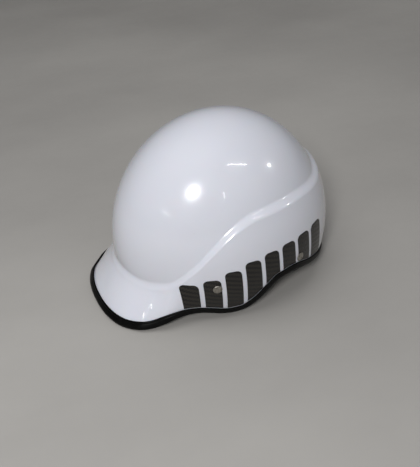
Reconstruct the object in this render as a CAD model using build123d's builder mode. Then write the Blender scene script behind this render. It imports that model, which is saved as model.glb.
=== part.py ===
from build123d import *
from math import acos, cos, hypot, radians, sin, sqrt
import os

# Whitewater helmet, in millimetres.  +X is the wearer's left, -Y the front, +Z up.
# The origin is on the surface that the helmet stands on, under the middle of the dome.

# ---------------------------------------------------------------- driving dimensions
DOME = (97.0, 121.5, 133.7)     # half width, half length and height of the dome's ellipsoid
DOME_Z = 55.8                   # height of the ellipsoid's widest level
WALL = 3.0                      # shell thickness, measured level
LEDGE = 4.4                     # how far the side band stands out from the dome
FRONT_LEDGE = 2.0               # the same in front, where the band becomes the brim
LEDGE_HEIGHT = 8.5              # height over which the band steps out
VALLEY = 8.0                    # roundness of the valley between dome and brim

# Stations round the helmet: angle from the front in degrees, then millimetres.
RIDGE = {0: 44.5, 20: 43.5, 35: 47.5, 50: 69.5, 60: 89, 70: 105, 80: 114.5, 90: 119,
         120: 121, 150: 118.5, 180: 128}                     # height where the band starts
LIP = {0: 8.3, 22: 7.8, 30: 10.5, 40: 19.5, 47: 22.3, 58: 20, 70: 15.5, 76: 16, 85: 25,
       92: 37, 100: 46.5, 110: 48.5, 130: 38.5, 150: 25.5, 170: 12, 180: 8.9}  # trim's top edge
REACH = {0: 34, 18: 36, 27: 32, 35: 21.5, 45: 10, 55: 5.5, 75: 5, 150: 5.3, 180: 6}  # at the lip

TRIM_HALF = 3.2                 # half the rubber trim's thickness
TRIM_SIDE = 6.0                 # straight part of the trim, along the wall
TRIM_DEPTH = 9.2                # from the trim's lip to its rounded foot
EDGE_DEPTH = 6.0                # how deep the shell's edge sits in the trim
TRIM_GAP = 0.25                 # between the shell and the trim's slot
STATION_STEP = 5                # degrees between two sections
STEEP = (30, 75)                # where the ridge climbs, sections are twice as close

CROWN_START = 0.006             # the sections start this far, in radians, from the crown

INLAY = (0.3, 0.6)              # inner and outer face of the carbon inlays, off the shell
INLAY_TOP = 100.0               # highest point of an inlay
BAR_COUNT = 8                   # slanted bars on each side
BAR_FIRST = -70.0               # Y of the first bar's foot, at height 0
BAR_PITCH = 21.5
BAR_WIDTH = 17.0
BAR_SLANT = -0.08               # how far a bar's Y changes for each millimetre up
BAR_ROUND = 5.0                 # radius of a bar's upper corners

SUB_SHELL = (3.6, 5.4)          # insets of the sub shell's outer and inner face
LINER = (5.7, 19.5)             # insets of the foam pads' outer and inner face

FRONT_RIVET = (63.0, 45.9)      # angle and height of the front anchor rivets
REAR_RIVET = (117.0, 52.8)      # angle and height of the rear anchor rivets
RIVETS = [(side * angle, z) for side in (1, -1) for angle, z in (FRONT_RIVET, REAR_RIVET)]
RIVET_HEAD = 4.8
RIVET_SHANK = 2.4
BOSS = 5.6                      # radius of a hanger's boss round its rivet
PLATE = 2.6                     # thickness of a hanger
HANGER_GAP = 8.5                # from the shell's face to the middle of a hanger, at its rivet
RIVET_TAIL = 13.4               # from the shell's face in to the formed tail
WASHER = 0.9

HINGE_X = 76.0                  # the harness turns on two bars, a front and a rear one
FRONT_BAR = Vector(HINGE_X, -47, 12)
REAR_BAR = Vector(HINGE_X, 47, 22)
APEX = Vector(27, 0, 5)         # where the two side straps meet when the straps are stowed
BAR = 2.0                       # radius of every strap bar
WEB = 1.5                       # webbing thickness
WEB_WIDTH = 18.0
LOOP = (2.2, 3.7)               # inner and outer radius of a sewn strap end
DIVIDER = 3.2                   # thickness of the strap divider
BRACE_LOW = 1.0                 # lower edge of the brace and its height
CHIN_RISE = 9.6                 # height of the stowed chin straps over the side straps
BUCKLE = 10.4                   # buckle thickness
BUCKLE_Y = 25.0                 # the buckle's bar, from the harness hinge towards the apex
SOCKET = (26, 35)               # width and length of the buckle's socket
MOUTH = (20.6, 6.6)             # the opening that takes the plug's prongs
TAIL_RISE = 2.1                 # from the chin webbing up to its folded tail
KEEPER = 4.0                    # width of the rubber ring that holds the tail
KEEPER_Y = 34.0                 # its place along the strap

BRACE_PIVOT = (52, 38)          # Y and Z of the occipital brace's pivot
BRACE = 2.4                     # thickness of the brace
BRACE_PATH = (74.2, 53.0)       # half width and depth of the brace, from its pivots
STUD = (1.5, 2.5, 4.2)          # radius of a pivot screw's thread, shoulder and head
STUD_BOSS = 4.6
STUD_X = 75.6                   # face of the boss that the brace turns against

os.makedirs("parts", exist_ok=True)


def save(part, name):
    part.label = name
    export_step(part, f"parts/{name}.step")


# ---------------------------------------------------------------- the shell's form
def folded(angle):
    """The same angle on the left half, from 0 in front to 180 at the rear."""
    return 180 - abs(180 - abs(angle))


def between(stations, angle):
    """Smooth value at an angle, level at the front and at the rear, with no overshoot."""
    angle = folded(angle)
    angles = list(stations)
    values = list(stations.values())
    last = len(angles) - 1
    rates = [(values[i + 1] - values[i]) / (angles[i + 1] - angles[i]) for i in range(last)]
    slopes = [0.0] * (last + 1)
    for i in range(1, last):
        if rates[i - 1] * rates[i] > 0:
            slopes[i] = 2 * rates[i - 1] * rates[i] / (rates[i - 1] + rates[i])
    i = max(k for k in range(last) if angles[k] <= angle)
    span = angles[i + 1] - angles[i]
    s = (angle - angles[i]) / span
    return (values[i] * (1 + 2 * s) * (1 - s) ** 2 + slopes[i] * span * s * (1 - s) ** 2
            + values[i + 1] * s * s * (3 - 2 * s) + slopes[i + 1] * span * s * s * (s - 1))


def wall_radius(angle, z, inset=0.0):
    """Distance from the vertical axis to the shell: dome, then the band's ledge, then the brim."""
    a, b, h = (half - inset for half in DOME)
    level = sqrt(1 - ((z - DOME_Z) / h) ** 2)
    dome = level * a * b / hypot(b * sin(radians(angle)), a * cos(radians(angle)))
    below = between(RIDGE, angle) - z
    step = min(max((below + 2) / LEDGE_HEIGHT, 0), 1)
    side = min(max((folded(angle) - 20) / 35, 0), 1)
    ledge = FRONT_LEDGE + (LEDGE - FRONT_LEDGE) * side
    radius = dome + ledge * step * step * (3 - 2 * step)
    if below > 0:
        drop = between(RIDGE, angle) - between(LIP, angle)
        flare = (between(REACH, angle) - ledge) / (hypot(drop, VALLEY) - VALLEY)
        radius += flare * (hypot(below, VALLEY) - VALLEY)
    return radius


def wall_point(angle, z, inset=0.0):
    radius = wall_radius(angle, z, inset)
    return Vector(radius * sin(radians(angle)), -radius * cos(radians(angle)), z)


def wall_plane(angle, z):
    """Plane on the shell's outer face, with its Z pointing out of the shell."""
    along = wall_point(angle + 1, z) - wall_point(angle - 1, z)
    up = wall_point(angle, z + 1) - wall_point(angle, z - 1)
    return Plane(origin=wall_point(angle, z), x_dir=along, z_dir=along.cross(up))


def section_plane(angle):
    """Upright plane through the helmet's axis: local X points out and local Y up."""
    c, s = cos(radians(angle)), sin(radians(angle))
    return Plane(origin=(0, 0, 0), x_dir=(s, -c, 0), z_dir=(-c, -s, 0))


def rim_frame(angle):
    """Wall middle, downward direction, wall thickness and stretch at the rim.

    The stretch makes up for a section that cuts a climbing rim at a slant."""
    z = between(LIP, angle)
    outer = wall_radius(angle, z)
    inner = wall_radius(angle, z, WALL)
    down = Vector(wall_radius(angle, z - 1) - wall_radius(angle, z + 1), -2).normalized()
    low, high = max(angle - 1, 0), min(angle + 1, 180)
    run = (wall_point(high, z) - wall_point(low, z)).length
    climb = (between(LIP, high) - between(LIP, low)) / run
    return Vector((outer + inner) / 2, z), down, (inner - outer) * down.Y, hypot(1, climb)


def bar_top(y):
    """Height of an inlay bar's upper end: the bars climb to the rear along the band."""
    return 64 + 17 * (y + 30) / hypot(y + 30, 45)


def shell_levels(angle, inset):
    """Heights down one section, from beside the crown to the edge, closer at the ledge."""
    ridge = between(RIDGE, angle)
    middle, down, thickness, stretch = rim_frame(angle)
    face = 0.5 if inset <= 0 else -0.5       # the edge is square to the wall
    edge = middle.Y + down.Y * EDGE_DEPTH * stretch + down.X * thickness * face
    height = DOME[2] - inset
    start, end = CROWN_START, acos((ridge + 8 - DOME_Z) / height)
    levels = [DOME_Z + height * cos(start + (end - start) * i / 6) for i in range(6)]
    levels += [ridge + 8 - 20 * i / 6 for i in range(6)]
    levels += [ridge - 12 - (ridge - 12 - edge) * i / 5 for i in range(6)]
    return levels


HALF_TURN = [i * STATION_STEP / 2 for i in range(2 * 180 // STATION_STEP + 1)
             if i % 2 == 0 or STEEP[0] < i * STATION_STEP / 2 < STEEP[1]]

# ---------------------------------------------------------------- shell, trim and inlays
with BuildPart() as outer_shell:
    for angle in HALF_TURN:
        with BuildSketch(section_plane(angle)):
            with BuildLine():
                outside = [(wall_radius(angle, z), z) for z in shell_levels(angle, 0)]
                inside = [(wall_radius(angle, z, WALL), z) for z in shell_levels(angle, WALL)]
                Spline(*outside)
                Spline(*inside)
                Line(outside[0], inside[0])
                Line(outside[-1], inside[-1])
            make_face()
    loft()
    mirror(about=Plane.YZ)
    with BuildSketch(Plane.XY.offset(DOME_Z + DOME[2] - WALL)):
        Circle(1.2)
    extrude(amount=WALL)
    for angle, z in RIVETS:
        with BuildSketch(wall_plane(angle, z).offset(5)):
            Circle(RIVET_SHANK + 0.1)
        extrude(amount=-12, mode=Mode.SUBTRACT)
save(outer_shell.part, "outer_shell")

with BuildPart() as edge_trim:
    for angle in HALF_TURN:
        middle, down, thickness, stretch = rim_frame(angle)
        out = Vector(-down.Y, down.X)
        slot = thickness / 2 + TRIM_GAP
        along = down * stretch

        def at(depth, side):
            return middle + along * depth + out * side

        with BuildSketch(section_plane(angle)):
            with BuildLine():
                Polyline(at(TRIM_SIDE, TRIM_HALF), at(1, TRIM_HALF), at(0, slot + 0.5), at(0, slot),
                         at(EDGE_DEPTH + TRIM_GAP, slot), at(EDGE_DEPTH + TRIM_GAP, -slot),
                         at(0, -slot), at(0, -slot - 0.5), at(1, -TRIM_HALF), at(TRIM_SIDE, -TRIM_HALF))
                ThreePointArc(at(TRIM_SIDE, TRIM_HALF), at(TRIM_DEPTH, 0), at(TRIM_SIDE, -TRIM_HALF))
            make_face()
    loft()
    mirror(about=Plane.YZ)
save(edge_trim.part, "edge_trim")

with BuildPart() as carbon_panels_left:
    for angle in range(35, 156, STATION_STEP):
        with BuildSketch(section_plane(angle)):
            top = min(between(RIDGE, angle) - 11, INLAY_TOP)
            low = between(LIP, angle) + 0.6
            heights = [low + (top - low) * i / 6 for i in range(7)]
            with BuildLine():
                face = [(wall_radius(angle, z, -INLAY[1]), z) for z in heights]
                back = [(wall_radius(angle, z, -INLAY[0]), z) for z in heights]
                Spline(*face)
                Spline(*back)
                Line(face[0], back[0])
                Line(face[-1], back[-1])
            make_face()
    loft()
    with BuildSketch(Plane.YZ) as bars:
        for bar in range(BAR_COUNT):
            y = BAR_FIRST + bar * BAR_PITCH
            top = bar_top(y)
            with BuildLine():
                Polyline((y - BAR_WIDTH / 2, 0), (y + BAR_WIDTH / 2, 0),
                         (y + BAR_WIDTH / 2 + BAR_SLANT * top, top),
                         (y - BAR_WIDTH / 2 + BAR_SLANT * top, top), close=True)
            make_face()
        fillet(bars.vertices().filter_by(lambda v: v.Z > 10), BAR_ROUND)
    extrude(amount=DOME[0] * 2, mode=Mode.INTERSECT)
    for angle, z in (FRONT_RIVET, REAR_RIVET):
        with BuildSketch(wall_plane(angle, z).offset(5)):
            Circle(RIVET_HEAD + 0.4)
        extrude(amount=-12, mode=Mode.SUBTRACT)
save(carbon_panels_left.part, "carbon_panels_left")

with BuildPart() as carbon_panels_right:
    mirror(carbon_panels_left.part, about=Plane.YZ)
save(carbon_panels_right.part, "carbon_panels_right")

# ---------------------------------------------------------------- liner
def dome_layer(insets):
    """Closed wall between two ellipsoids inside the dome."""
    with BuildPart() as layer:
        for inset, mode in zip(insets, (Mode.ADD, Mode.SUBTRACT)):
            with BuildPart(mode=Mode.PRIVATE) as ball:
                Sphere(1)
                scale(by=tuple(half - inset for half in DOME))
            add(ball.part.moved(Location((0, 0, DOME_Z))), mode=mode)
    return layer.part


with BuildPart() as sub_shell:
    add(dome_layer(SUB_SHELL))
    with BuildSketch(Plane.YZ) as outline:
        with BuildLine():
            Polyline((-140, 14), (-66, 14), (-66, 66), (66, 66), (66, 50), (140, 50), (140, 200),
                     (-140, 200), close=True)
        make_face()
        fillet(outline.vertices().filter_by(lambda v: abs(v.Y) < 100), 8)
    extrude(amount=DOME[0], both=True, mode=Mode.INTERSECT)
save(sub_shell.part, "sub_shell")

with BuildPart() as crown_pad:
    add(dome_layer(LINER))
    with BuildSketch(Plane.XY.offset(100)):
        Ellipse(50, 66)
    extrude(amount=100, mode=Mode.INTERSECT)
save(crown_pad.part, "crown_pad")

with BuildPart() as front_pad:
    add(dome_layer(LINER))
    with BuildSketch(Plane.XZ.offset(62)) as outline:
        with BuildLine():
            Polyline((-80, 7), (80, 7), (66, 100), (40, 128), (-40, 128), (-66, 100), close=True)
        make_face()
        fillet(outline.vertices(), 12)
    extrude(amount=70, mode=Mode.INTERSECT)
save(front_pad.part, "front_pad")

with BuildPart() as rear_pad:
    add(dome_layer(LINER))
    with BuildSketch(Plane.XZ.offset(-64)) as outline:
        with BuildLine():
            Polyline((-72, 52), (72, 52), (66, 100), (40, 134), (-40, 134), (-66, 100), close=True)
        make_face()
        fillet(outline.vertices(), 12)
    extrude(amount=-70, mode=Mode.INTERSECT)
save(rear_pad.part, "rear_pad")

with BuildPart() as side_pad_left:
    add(dome_layer(LINER))
    with BuildSketch(Plane.YZ.offset(40)) as outline:
        with Locations((0, 101)):
            RectangleRounded(112, 78, 14)
    extrude(amount=60, mode=Mode.INTERSECT)
save(side_pad_left.part, "side_pad_left")

with BuildPart() as side_pad_right:
    mirror(side_pad_left.part, about=Plane.YZ)
save(side_pad_right.part, "side_pad_right")

# ---------------------------------------------------------------- anchors
ALONG = (REAR_BAR - FRONT_BAR).normalized()      # direction of the harness hinge


def hanger_plane(bar, rivet):
    """Plane of a hanger: origin in its bar, local X along the bar, Z out of the helmet."""
    rise = rivet - bar
    return Plane(origin=bar, x_dir=ALONG, z_dir=ALONG.cross(rise))


def hanger_plate(bar, angle, z, wall_gap):
    """Strap hanger of the left side: a boss round the rivet and a plate that ends in a bar."""
    rivet = wall_plane(angle, z)
    eye = rivet.offset(-wall_gap).origin
    plate = hanger_plane(bar, eye)
    local = plate.to_local_coords(eye)
    with BuildPart(mode=Mode.PRIVATE) as hanger:
        with BuildSketch(plate.offset(-PLATE / 2)):
            with Locations((local.X, local.Y)):
                Circle(8.5)
            with Locations((0, 9.5)):
                Rectangle(WEB_WIDTH + 6, 3)
            make_hull()
            for side in (-1, 1):
                with Locations((side * (WEB_WIDTH / 2 + 1.9), 4)):
                    Rectangle(2.2, 11)
        extrude(amount=PLATE)
        with BuildSketch(Plane(origin=bar - ALONG * (WEB_WIDTH / 2 + 3), z_dir=ALONG)):
            Circle(BAR)
        extrude(amount=WEB_WIDTH + 6)
        with BuildSketch(rivet.offset(-WALL - 0.35)):
            Circle(BOSS)
        extrude(amount=WALL + 0.4 + WASHER - RIVET_TAIL)
        with BuildSketch(rivet):
            Circle(RIVET_SHANK + 0.1)
        extrude(amount=-30, mode=Mode.SUBTRACT)
    return hanger.part


with BuildPart() as strap_hangers:
    add(hanger_plate(FRONT_BAR, *FRONT_RIVET, HANGER_GAP))
    add(hanger_plate(REAR_BAR, *REAR_RIVET, HANGER_GAP))
    for radius, depth, mode in ((STUD_BOSS, 5.5, Mode.ADD), (STUD[0] + 0.1, 9, Mode.SUBTRACT)):
        with BuildSketch(Plane.YZ.offset(STUD_X)):
            with Locations(BRACE_PIVOT):
                Circle(radius)
        extrude(amount=depth, mode=mode)
    mirror(about=Plane.YZ)
save(strap_hangers.part, "strap_hangers")

with BuildPart() as anchor_rivets:
    for angle, z in RIVETS:
        plane = wall_plane(angle, z)
        with BuildSketch(plane.offset(INLAY[1] + 0.1)):
            Circle(RIVET_HEAD)
        extrude(amount=1.2, taper=40)
        with BuildSketch(plane.offset(INLAY[1] + 0.1)):
            Circle(RIVET_SHANK)
        extrude(amount=-RIVET_TAIL - INLAY[1] - 0.1)
        with BuildSketch(plane.offset(-RIVET_TAIL)):
            Circle(3.6)
        extrude(amount=-1.2, taper=20)
save(anchor_rivets.part, "anchor_rivets")

with BuildPart() as rivet_washers:
    for angle, z in RIVETS:
        with BuildSketch(wall_plane(angle, z).offset(0.02 - RIVET_TAIL)):
            Circle(5.4)
            Circle(RIVET_SHANK + 0.1, mode=Mode.SUBTRACT)
        extrude(amount=WASHER)
save(rivet_washers.part, "rivet_washers")

with BuildPart() as brace_screws:
    with BuildSketch(Plane.YZ.offset(STUD_X + 8)):
        with Locations(BRACE_PIVOT):
            Circle(STUD[0])
    extrude(amount=-9)
    with BuildSketch(Plane.YZ.offset(STUD_X - 0.02)):
        with Locations(BRACE_PIVOT):
            Circle(STUD[1])
    extrude(amount=-BRACE - 0.9)
    with BuildSketch(Plane.YZ.offset(STUD_X - BRACE - 0.9)):
        with Locations(BRACE_PIVOT):
            Circle(STUD[2])
            RegularPolygon(1.3, 6, mode=Mode.SUBTRACT)
    extrude(amount=-1.8)
    mirror(about=Plane.YZ)
save(brace_screws.part, "brace_screws")

# ---------------------------------------------------------------- occipital brace
with BuildPart() as occipital_brace:
    with BuildSketch():
        with BuildLine():
            EllipticalCenterArc((0, BRACE_PIVOT[0]), *BRACE_PATH, arc_size=180)
            for side in (-1, 1):
                Line((side * BRACE_PATH[0], BRACE_PIVOT[0]), (side * BRACE_PATH[0], BRACE_PIVOT[0] - 8))
        trace(line_width=BRACE)
    extrude(amount=60)
    with BuildSketch(Plane.YZ) as outline:
        with BuildLine():
            y, z = BRACE_PIVOT
            Polyline((y, z + 6), (y + 10, z + 3), (y + 32, z), (y + 42, z + 5), (y + 60, z + 5),
                     (y + 60, BRACE_LOW), (y + 42, BRACE_LOW), (y + 30, z - 14), (y + 8, z - 6),
                     (y, z - 6), close=True)
        make_face()
        fillet(outline.vertices().filter_by(lambda v: v.Y < y + 50), 5)
        with Locations(BRACE_PIVOT):
            Circle(6)
            Circle(STUD[1] + 0.08, mode=Mode.SUBTRACT)
    extrude(amount=100, both=True, mode=Mode.INTERSECT)
    with BuildSketch(Plane.XZ.offset(-95)):
        with Locations((0, (BRACE_PIVOT[1] + 5 + BRACE_LOW) / 2)):
            SlotOverall(58, 20)
    extrude(amount=-20, mode=Mode.SUBTRACT)
save(occipital_brace.part, "occipital_brace")

with BuildPart() as occipital_pad:
    with BuildSketch(Plane.XY.offset(BRACE_LOW + 2)):
        with BuildLine():
            EllipticalCenterArc((0, BRACE_PIVOT[0]), BRACE_PATH[0] - 6.4, BRACE_PATH[1] - 6.4, 52,
                                arc_size=76)
        trace(line_width=8)
    extrude(amount=BRACE_PIVOT[1] + 1 - BRACE_LOW)
    fillet(occipital_pad.edges().filter_by(Axis.Z), 3)
save(occipital_pad.part, "occipital_pad")

# ---------------------------------------------------------------- side straps, left side
MIDDLE = (FRONT_BAR + REAR_BAR) / 2
TOWARDS = APEX - MIDDLE
PANEL = Plane(origin=MIDDLE, x_dir=ALONG, z_dir=ALONG.cross(TOWARDS))   # local Y to the apex
HALF_SPAN = (REAR_BAR - FRONT_BAR).length / 2
CHIN_Y = PANEL.to_local_coords(APEX).Y           # the bar that the chin strap turns on
SLOT_X, SLOT_Y = 12.5, CHIN_Y - 12               # middle of a side strap's bar on the divider
SLOT_TURN = 40                                   # how far those bars are turned, in degrees


def bar_rod(centre, direction, radius):
    """Rod as long as the webbing is wide, with its middle at a strap bar."""
    with BuildPart(mode=Mode.PRIVATE) as rod:
        with BuildSketch(Plane(origin=centre, z_dir=direction)):
            Circle(radius)
        extrude(amount=WEB_WIDTH / 2, both=True)
    return rod.part


def side_strap(side):
    """Webbing from a hanger's bar to the divider; side is -1 for the front strap."""
    turn = radians(SLOT_TURN)
    inward = Vector(-side * sin(turn), cos(turn))
    slot = Vector(side * SLOT_X, SLOT_Y)
    across = PANEL.x_dir * cos(turn) + PANEL.y_dir * side * sin(turn)
    ends = ((PANEL.from_local_coords((side * HALF_SPAN, 0, 0)), ALONG),
            (PANEL.from_local_coords(slot), across))
    with BuildPart(mode=Mode.PRIVATE) as strap:
        with BuildSketch(PANEL.offset(-WEB / 2)):
            with BuildLine():
                Spline((side * HALF_SPAN, LOOP[0] + 0.6), slot - inward * (LOOP[0] + 0.6),
                       tangents=((0, 1), inward))
            trace(line_width=WEB_WIDTH)
        extrude(amount=WEB)
        for centre, direction in ends:
            add(bar_rod(centre, direction, LOOP[1]))
        for centre, direction in ends:
            add(bar_rod(centre, direction, LOOP[0]), mode=Mode.SUBTRACT)
    return strap.part


with BuildPart() as front_strap_left:
    add(side_strap(-1))

with BuildPart() as rear_strap_left:
    add(side_strap(1))

with BuildPart() as strap_divider_left:
    with BuildSketch(PANEL.offset(-DIVIDER / 2)) as outline:
        for side in (-1, 1):
            with Locations(Location((side * SLOT_X, SLOT_Y, 0), (0, 0, side * SLOT_TURN))):
                RectangleRounded(WEB_WIDTH + 6, 2.6, 1.2)
        with Locations((0, CHIN_Y)):
            RectangleRounded(WEB_WIDTH + 6, 2.6, 1.2)
        make_hull()
        for side in (-1, 1):
            with Locations(Location((side * SLOT_X, SLOT_Y, 0), (0, 0, side * SLOT_TURN))):
                with Locations((0, 3.4)):
                    RectangleRounded(WEB_WIDTH + 1.6, 4.2, 0.6, mode=Mode.SUBTRACT)
        with Locations((0, CHIN_Y - 3.4)):
            RectangleRounded(WEB_WIDTH + 1.6, 4.2, 0.6, mode=Mode.SUBTRACT)
    extrude(amount=DIVIDER)

with BuildPart() as ear_pad_left:
    with BuildSketch(PANEL.offset(-3.5)) as outline:
        with BuildLine():
            Polyline((-25, 4), (25, 4), (5, 26), (-5, 26), close=True)
        make_face()
        fillet(outline.vertices(), 3.5)
    extrude(amount=7)
    fillet(ear_pad_left.faces().sort_by(Axis.Z)[-1].edges(), 2)

# ---------------------------------------------------------------- chin strap halves
CHIN_SIDE = Plane(origin=MIDDLE, x_dir=PANEL.y_dir, z_dir=ALONG)   # side view: X to the apex, Y up
BUCKLE_PLANE = PANEL.offset(CHIN_RISE)
CHIN_BAR = (PANEL.from_local_coords((0, CHIN_Y, 0)), ALONG)
BUCKLE_BAR = (PANEL.from_local_coords((0, BUCKLE_Y, CHIN_RISE)), ALONG)
LAP = (LOOP[0] + LOOP[1]) / 2                    # from a bar to the middle of its webbing


def chin_webbing(with_tail):
    """Webbing from the divider's bar to the buckle's bar, and for the plug its folded tail."""
    with BuildPart(mode=Mode.PRIVATE) as strap:
        with BuildSketch(CHIN_SIDE):
            with BuildLine():
                Spline((CHIN_Y, LAP), (CHIN_Y - 5.5, CHIN_RISE * 0.6), (CHIN_Y - 10.5, CHIN_RISE),
                       (BUCKLE_Y + LAP, CHIN_RISE), tangents=((-1, 0), (-1, 0)))
            trace(line_width=WEB)
            if with_tail:
                with BuildLine():
                    Spline((BUCKLE_Y, CHIN_RISE + LAP), (BUCKLE_Y + 4, CHIN_RISE + TAIL_RISE),
                           (CHIN_Y - 11, CHIN_RISE + TAIL_RISE), (CHIN_Y - 5, CHIN_RISE + TAIL_RISE + 1),
                           tangents=((1, 0), (1, 0.4)))
                trace(line_width=WEB)
        extrude(amount=WEB_WIDTH / 2, both=True)
        for bar in (CHIN_BAR, BUCKLE_BAR):
            add(bar_rod(*bar, LOOP[1]))
        for bar in (CHIN_BAR, BUCKLE_BAR):
            add(bar_rod(*bar, LOOP[0]), mode=Mode.SUBTRACT)
    return strap.part


def buckle_end():
    """The strap bar at a buckle half's root, between two ears."""
    with BuildPart(mode=Mode.PRIVATE) as end:
        with BuildSketch(BUCKLE_PLANE.offset(-BAR)):
            for side in (-1, 1):
                with Locations((side * (WEB_WIDTH / 2 + 2), BUCKLE_Y - 1.5)):
                    Rectangle(2.4, 7)
        extrude(amount=2 * BAR)
        add(bar_rod(*BUCKLE_BAR, BAR))
        with BuildSketch(Plane(origin=BUCKLE_BAR[0], z_dir=ALONG)):
            Circle(BAR)
        extrude(amount=WEB_WIDTH / 2 + 2, both=True)
    return end.part


with BuildPart() as chin_strap_left:
    add(chin_webbing(with_tail=False))

with BuildPart() as buckle_socket:
    with BuildSketch(BUCKLE_PLANE.offset(-BUCKLE / 2)):
        with Locations((0, BUCKLE_Y - 4.5 - SOCKET[1] / 2)):
            RectangleRounded(*SOCKET, 3)
    extrude(amount=BUCKLE)
    fillet(buckle_socket.faces().filter_by(PANEL).edges(), 1.6)
    mouth = BUCKLE_PLANE.from_local_coords((0, BUCKLE_Y - 4.5 - SOCKET[1], 0))
    with BuildSketch(Plane(origin=mouth, x_dir=ALONG, z_dir=PANEL.y_dir)):
        RectangleRounded(*MOUTH, 1.5)
    extrude(amount=26, mode=Mode.SUBTRACT)
    with BuildSketch(BUCKLE_PLANE.offset(-3)):
        with GridLocations(SOCKET[0], 0, 2, 1):
            with Locations((0, BUCKLE_Y - 4.5 - SOCKET[1] + 16)):
                RectangleRounded(9, 12, 2)
    extrude(amount=6, mode=Mode.SUBTRACT)
    add(buckle_end())

with BuildPart() as plug_build:
    with BuildSketch(BUCKLE_PLANE.offset(-4)):
        with Locations((0, BUCKLE_Y - 4.5 - 6.5)):
            RectangleRounded(24, 13, 2.5)
    extrude(amount=8)
    fillet(plug_build.faces().filter_by(PANEL).edges(), 1.2)
    with BuildSketch(BUCKLE_PLANE.offset(-2.4)):
        with Locations((0, BUCKLE_Y - 17 - 8)):
            Rectangle(4.6, 18)
        for side in (-1, 1):
            root, tip = BUCKLE_Y - 17, BUCKLE_Y - 17 - 20
            with BuildLine():
                Polyline((side * 5.4, root), (side * 9.0, root), (side * 8.6, root - 6),
                         (side * 9.9, root - 8), (side * 9.9, tip + 4), (side * 7.4, tip),
                         (side * 5.2, tip + 1), (side * 5.6, root - 6), close=True)
            make_face()
    extrude(amount=4.8)
    add(buckle_end())

with BuildPart() as keeper_build:
    heights = (-WEB / 2 - 0.3, TAIL_RISE + WEB / 2 + 0.3)
    middle = PANEL.from_local_coords((0, KEEPER_Y, CHIN_RISE + sum(heights) / 2))
    with BuildSketch(Plane(origin=middle, x_dir=ALONG, z_dir=PANEL.y_dir)):
        RectangleRounded(WEB_WIDTH + 4.2, heights[1] - heights[0] + 2.8, 1.6)
        RectangleRounded(WEB_WIDTH + 0.8, heights[1] - heights[0], 0.5, mode=Mode.SUBTRACT)
    extrude(amount=KEEPER / 2, both=True)

with BuildPart() as chin_strap_right:
    mirror(chin_webbing(with_tail=True), about=Plane.YZ)

with BuildPart() as buckle_plug:
    mirror(plug_build.part, about=Plane.YZ)

with BuildPart() as strap_keeper:
    mirror(keeper_build.part, about=Plane.YZ)

save(chin_strap_left.part, "chin_strap_left")
save(chin_strap_right.part, "chin_strap_right")
save(buckle_socket.part, "buckle_socket")
save(buckle_plug.part, "buckle_plug")
save(strap_keeper.part, "strap_keeper")

for name, left in (("front_strap", front_strap_left), ("rear_strap", rear_strap_left),
                   ("strap_divider", strap_divider_left), ("ear_pad", ear_pad_left)):
    with BuildPart() as right:
        mirror(left.part, about=Plane.YZ)
    save(left.part, name + "_left")
    save(right.part, name + "_right")
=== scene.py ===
import math

import bmesh
import bpy
import numpy as np
from mathutils import Matrix, Vector


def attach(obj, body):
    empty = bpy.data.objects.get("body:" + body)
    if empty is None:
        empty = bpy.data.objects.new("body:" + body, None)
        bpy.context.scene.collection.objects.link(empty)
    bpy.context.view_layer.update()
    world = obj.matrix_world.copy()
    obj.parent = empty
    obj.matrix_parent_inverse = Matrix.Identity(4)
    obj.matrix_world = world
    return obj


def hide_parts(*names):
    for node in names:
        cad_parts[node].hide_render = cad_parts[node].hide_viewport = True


# Whitewater helmet.  Driving dimensions are in millimetres, as in part.py; MM turns them into metres.
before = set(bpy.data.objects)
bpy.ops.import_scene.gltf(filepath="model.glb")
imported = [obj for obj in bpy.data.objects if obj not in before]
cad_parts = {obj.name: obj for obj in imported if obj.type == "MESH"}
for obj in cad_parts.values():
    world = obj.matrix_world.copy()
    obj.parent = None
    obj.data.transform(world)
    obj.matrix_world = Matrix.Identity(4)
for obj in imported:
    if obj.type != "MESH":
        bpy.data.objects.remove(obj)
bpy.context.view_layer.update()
MM = 0.001

# ---------------------------------------------------------------- driving dimensions
DOME = (97.0, 121.5, 133.7)
DOME_Z = 55.8
WALL = 3.0
LEDGE = 4.4
FRONT_LEDGE = 2.0
LEDGE_HEIGHT = 8.5
VALLEY = 8.0
RIDGE = {0: 44.5, 20: 43.5, 35: 47.5, 50: 69.5, 60: 89, 70: 105, 80: 114.5, 90: 119,
         120: 121, 150: 118.5, 180: 128}
LIP = {0: 8.3, 22: 7.8, 30: 10.5, 40: 19.5, 47: 22.3, 58: 20, 70: 15.5, 76: 16, 85: 25,
       92: 37, 100: 46.5, 110: 48.5, 130: 38.5, 150: 25.5, 170: 12, 180: 8.9}
REACH = {0: 34, 18: 36, 27: 32, 35: 21.5, 45: 10, 55: 5.5, 75: 5, 150: 5.3, 180: 6}

TRIM_HALF = 3.2
TRIM_SIDE = 6.0
TRIM_DEPTH = 9.2
EDGE_DEPTH = 6.0

INLAY = 0.5                     # outer face of the carbon inlays, off the shell
INLAY_TOP = 100.0
BAR_COUNT = 8
BAR_FIRST = -70.0
BAR_PITCH = 21.5
BAR_WIDTH = 17.0
BAR_SLANT = -0.08
BAR_ROUND = 5.0

LINER = (5.7, 19.5)
FRONT_RIVET = (63.0, 45.9)
REAR_RIVET = (117.0, 52.8)
RIVETS = [(side * angle, z) for side in (1, -1) for angle, z in (FRONT_RIVET, REAR_RIVET)]
RIVET_HEAD = 4.8
RIVET_SHANK = 2.4
RIVET_TAIL = 13.4

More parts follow.
